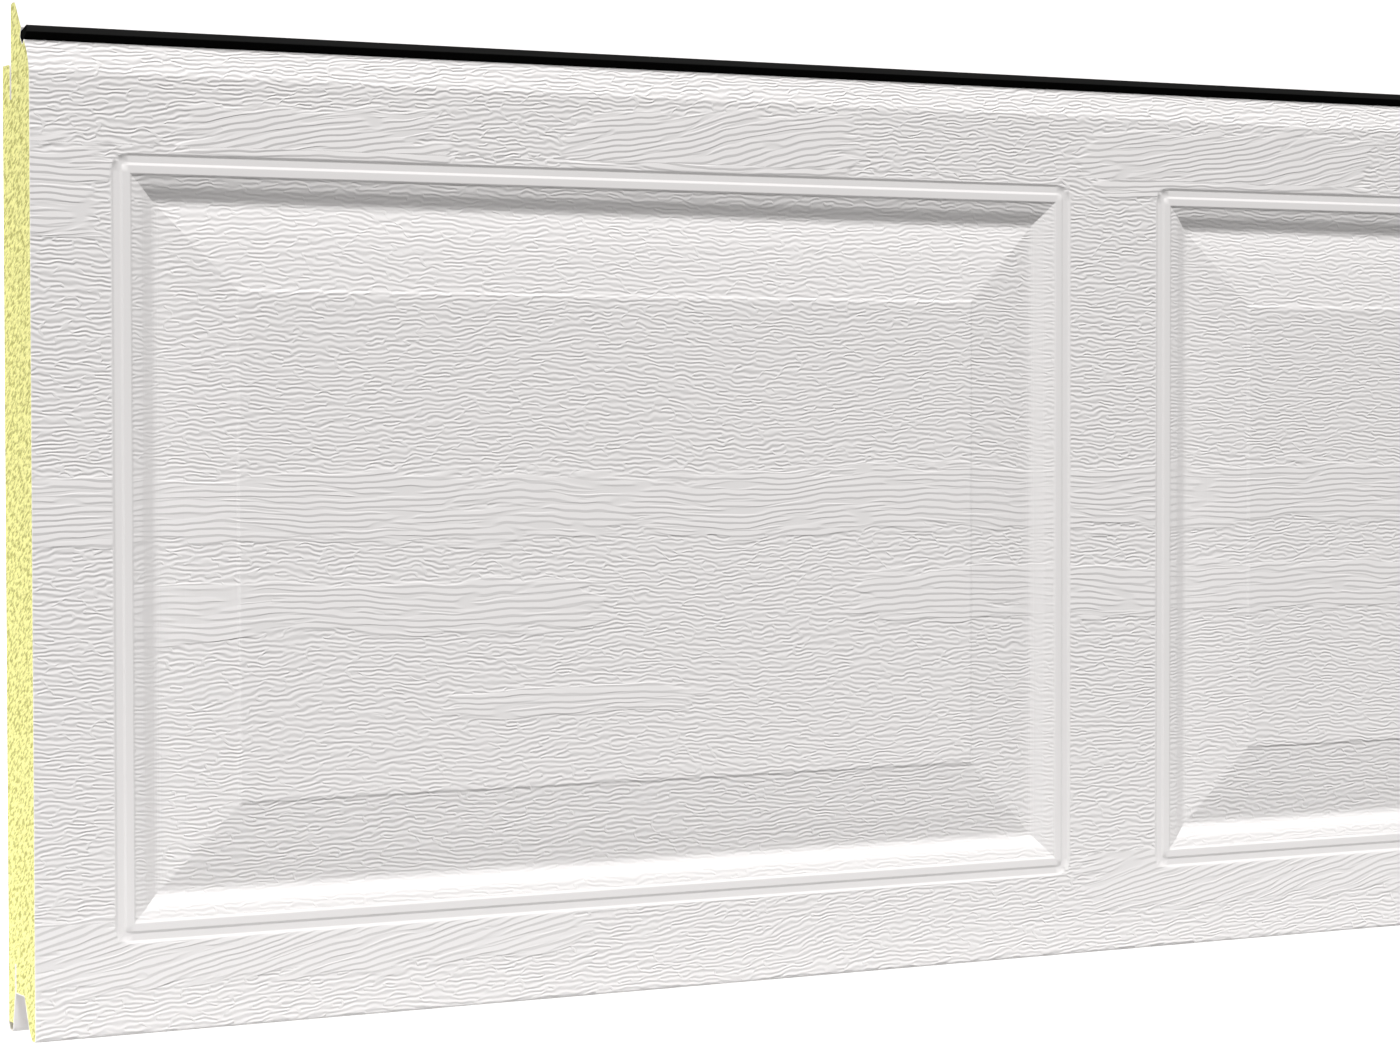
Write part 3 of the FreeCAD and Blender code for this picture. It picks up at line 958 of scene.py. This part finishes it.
class PANEL_OT_foam_core(bpy.types.Operator):
    """Make the foam core between the sheets, with its sawn ends"""

    bl_idname = "cassette_panel.foam_core"
    bl_label = "Foam Core"

    def execute(self, context):
        scene = context.scene
        section, look = scene.panel_section, scene.panel_foam
        front, front_normals = inwards(rounded(front_corners(section)), section.skin)
        back, back_normals = inwards(rounded(back_corners(section)), section.skin)
        stop = BACK_LOW.y - FRONT_LOW.y + section.hem_height
        kept = back[:, 0] > stop
        hem_start, hem_end = np.flatnonzero(~kept)[[0, -1]]
        edge = []
        for inside, outside in ((hem_start - 1, hem_start), (hem_end + 1, hem_end)):
            a, b = back[inside], back[outside]
            edge.append(a + (b - a) * (stop - a[0]) / (b[0] - a[0]))
        flat = np.array([[-1.0, 0.0]] * 2)
        outline = np.concatenate([front, back[:hem_start], edge, back[hem_end + 1:]])
        normals = np.concatenate([front_normals, back_normals[:hem_start], flat,
                                  back_normals[hem_end + 1:]])
        plain = 30 * MM
        columns = np.array([FRONT_LOW.x, FRONT_LOW.x + plain, FRONT_HIGH.x - plain,
                            FRONT_HIGH.x])
        outline, normals = divided((outline, normals), look.cell)
        parts = solid_mesh((outline, normals), columns, look.cell, look.depth)

        # Between its plain ends the foam stops below the cassettes, out of sight
        room, squeezed = 0.3 * MM, 1.5 * MM
        places = parts.places[0]
        full = FRONT_HIGH.z - section.skin
        lowered = full - scene.panel_cassettes.trough_depth - room
        start = lowered - squeezed
        pressed = (np.abs(places[:, 0]) < FRONT_HIGH.x - plain / 2) & (places[:, 2] > start)
        places[pressed, 2] = np.interp(places[pressed, 2], [start, full], [start, lowered])
        parts.build("foam_core_cut", foam_material(look), "foam", "foam_core")
        return {"FINISHED"}


class PANEL_OT_seal(bpy.types.Operator):
    """Make the rubber seal that stands out of its pocket"""

    bl_idname = "cassette_panel.seal"
    bl_label = "Seal"

    def execute(self, context):
        scene = context.scene
        section, look = scene.panel_section, scene.panel_seal
        top = FRONT_HIGH.z
        foot, root, floor, edge = front_corners(section)[POCKET]
        notch = section.cover_height + look.notch_height
        share = (notch - root[0]) / (foot[0] - root[0])
        wall = (notch, root[1] + share * (foot[1] - root[1]))
        middle = ((wall[0] + root[0]) / 2, (wall[1] + root[1]) / 2)
        corners = [
            (*middle, 0.0), (*wall, 0.3 * MM), (notch, top - look.notch_setback, 0.8 * MM),
            (section.cover_height + look.lip_height, top - look.lip_setback, 0.4 * MM),
            (section.cover_height + look.ridge_height, top - look.ridge_setback, 1.0 * MM),
            edge, floor, root, (*middle, 0.0),
        ]
        points, normals = rounded(corners, math.radians(10), math.radians(15))
        columns = np.linspace(FRONT_LOW.x, FRONT_HIGH.x, num=60)
        parts = solid_mesh((points[:-1], normals[:-1]), columns)
        material = rubber_material(look, section.cover_height + look.ridge_height)
        parts.build("seal_strip", material, "seal_rubber", "top_seal")
        return {"FINISHED"}


class PANEL_OT_studio(bpy.types.Operator):
    """Make the pale floor, the soft lights and the camera"""

    bl_idname = "cassette_panel.studio"
    bl_label = "Studio"

    def execute(self, context):
        scene = context.scene
        look = scene.panel_studio
        reach, below = 12.0, 0.5 * MM
        mesh = bpy.data.meshes.new("floor")
        corners = [(-reach, -reach, 0.0), (reach, -reach, 0.0), (reach, reach, 0.0),
                   (-reach, reach, 0.0)]
        mesh.from_pydata(corners, [], [(0, 1, 2, 3)])
        mesh.materials.append(floor_material(look.floor_glow))
        floor = bpy.data.objects.new("floor", mesh)
        floor.location.z = -below
        scene.collection.objects.link(floor)
        world = bpy.data.worlds.new("studio")
        world.use_nodes = True
        sky = world.node_tree.nodes["Background"]
        sky.inputs["Color"].default_value = (1.0, 1.0, 1.0, 1.0)
        sky.inputs["Strength"].default_value = look.sky
        scene.world = world
        key = bpy.data.lights.new("key", "SUN")
        key.energy = look.key
        key.angle = look.key_angle
        self.aim(scene, "key", key, Vector((-0.18, 1.2, 0.78)), Vector((0.0, 0.0, 0.0)))

        # Name, power, size, place and target of the square and strip lights
        areas = [
            ("side", look.side, (0.5, 0.04), (-1.78, -0.42, 0.022), (-1.3, -0.2, 0.022)),
            ("lamp", look.lamp, (0.8, 0.8), (-0.95, 0.55, 1.05), (-0.95, 0.0, 0.04)),
            ("edge", look.edge, (2.4, 0.03), (-0.75, -0.36, 0.135), (-0.75, -0.28, 0.035)),
        ]
        for name, power, (wide, tall), place, target in areas:
            light = bpy.data.lights.new(name, "AREA")
            light.shape, light.size, light.size_y = "RECTANGLE", wide, tall
            light.energy = power
            self.aim(scene, name, light, Vector(place), Vector(target))
        scene.view_settings.view_transform = "Standard"
        camera = bpy.data.cameras.new("camera")
        camera.lens = look.lens
        camera.sensor_width = 36.0
        place = Vector((-1.938461, 0.053103, 1.847327))
        target = Vector((-0.919574, -0.007143, 0.04))
        scene.camera = self.aim(scene, "camera", camera, place, target, look.roll)
        return {"FINISHED"}

    def aim(self, scene, name, data, place, target, roll=0.0):
        """An object at a place that looks at a target, with the panel's Y upwards in view."""
        holder = bpy.data.objects.new(name, data)
        ahead = (target - place).normalized()
        right = ahead.cross(Vector((0.0, 1.0, 0.0))).normalized()
        up = right.cross(ahead)
        turned = Matrix((right, up, -ahead)).transposed().to_4x4() @ Matrix.Rotation(roll, 4, "Z")
        holder.matrix_world = Matrix.Translation(place) @ turned
        scene.collection.objects.link(holder)
        return holder


OPERATORS = (PANEL_OT_front_sheet, PANEL_OT_back_sheet, PANEL_OT_foam_core, PANEL_OT_seal,
             PANEL_OT_studio)


class PANEL_PT_sidebar(bpy.types.Panel):
    """The steps that make the cassette panel"""

    bl_idname = "PANEL_PT_cassette_panel"
    bl_label = "Cassette Panel"
    bl_space_type = "VIEW_3D"
    bl_region_type = "UI"
    bl_category = "Cassette Panel"

    def draw(self, context):
        for operator in OPERATORS:
            self.layout.operator(operator.bl_idname)


def register():
    """Registers every class, and hangs the sizes and looks on the scene."""
    for name, group in PROPERTY_GROUPS.items():
        bpy.utils.register_class(group)
        setattr(bpy.types.Scene, name, PointerProperty(type=group))
    for operator in OPERATORS:
        bpy.utils.register_class(operator)
    bpy.utils.register_class(PANEL_PT_sidebar)


def unregister():
    """Takes everything off again."""
    bpy.utils.unregister_class(PANEL_PT_sidebar)
    for operator in reversed(OPERATORS):
        bpy.utils.unregister_class(operator)
    for name, group in reversed(PROPERTY_GROUPS.items()):
        delattr(bpy.types.Scene, name)
        bpy.utils.unregister_class(group)


def main():
    register()
    bpy.ops.cassette_panel.front_sheet()
    bpy.ops.cassette_panel.back_sheet()
    bpy.ops.cassette_panel.foam_core()
    bpy.ops.cassette_panel.seal()
    bpy.ops.cassette_panel.studio()


if __name__ == "__main__":
    main()
